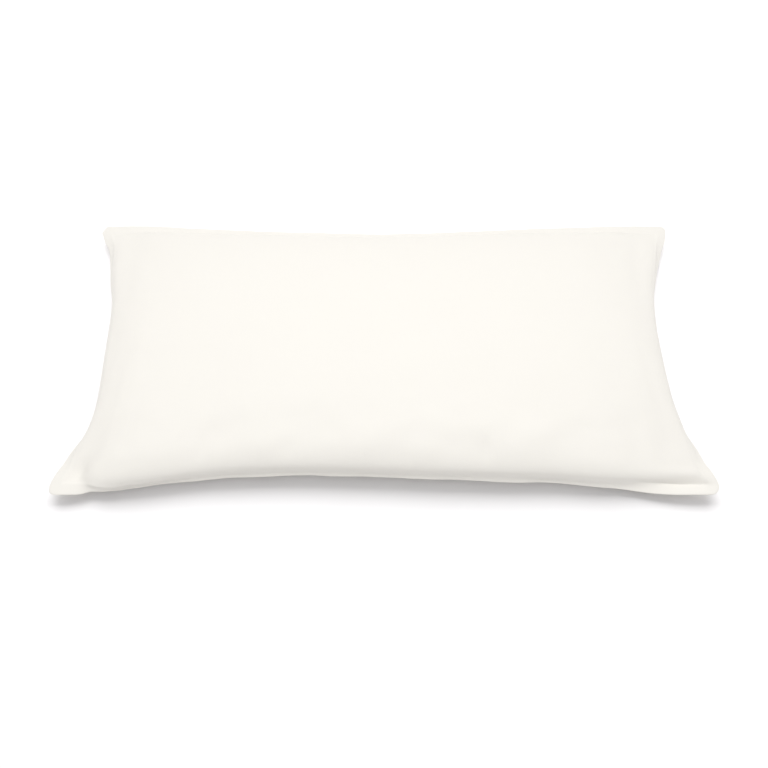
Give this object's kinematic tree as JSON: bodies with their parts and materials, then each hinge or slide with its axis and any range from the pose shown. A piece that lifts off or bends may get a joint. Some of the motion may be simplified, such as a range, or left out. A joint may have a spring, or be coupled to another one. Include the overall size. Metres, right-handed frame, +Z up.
{
  "type": "filled pillowcase",
  "caption": "Long ivory cotton pillowcase with its pillow inside, lying flat: crowned panels, drawn-in sides, a narrow drooping seam edge and pointed corner ears.",
  "frame": {"origin": "on the surface it lies on, under the middle of its box", "axes": "+X along the long side, +Y across it from the near long side to the far one, +Z up"},
  "size_m": [0.7972, 0.3968, 0.0635],
  "materials": {
    "cotton": "matt, fine plain-woven ivory cotton"
  },
  "bodies": {
    "root": {"pillowcase": "cotton"}
  },
  "joints": []
}
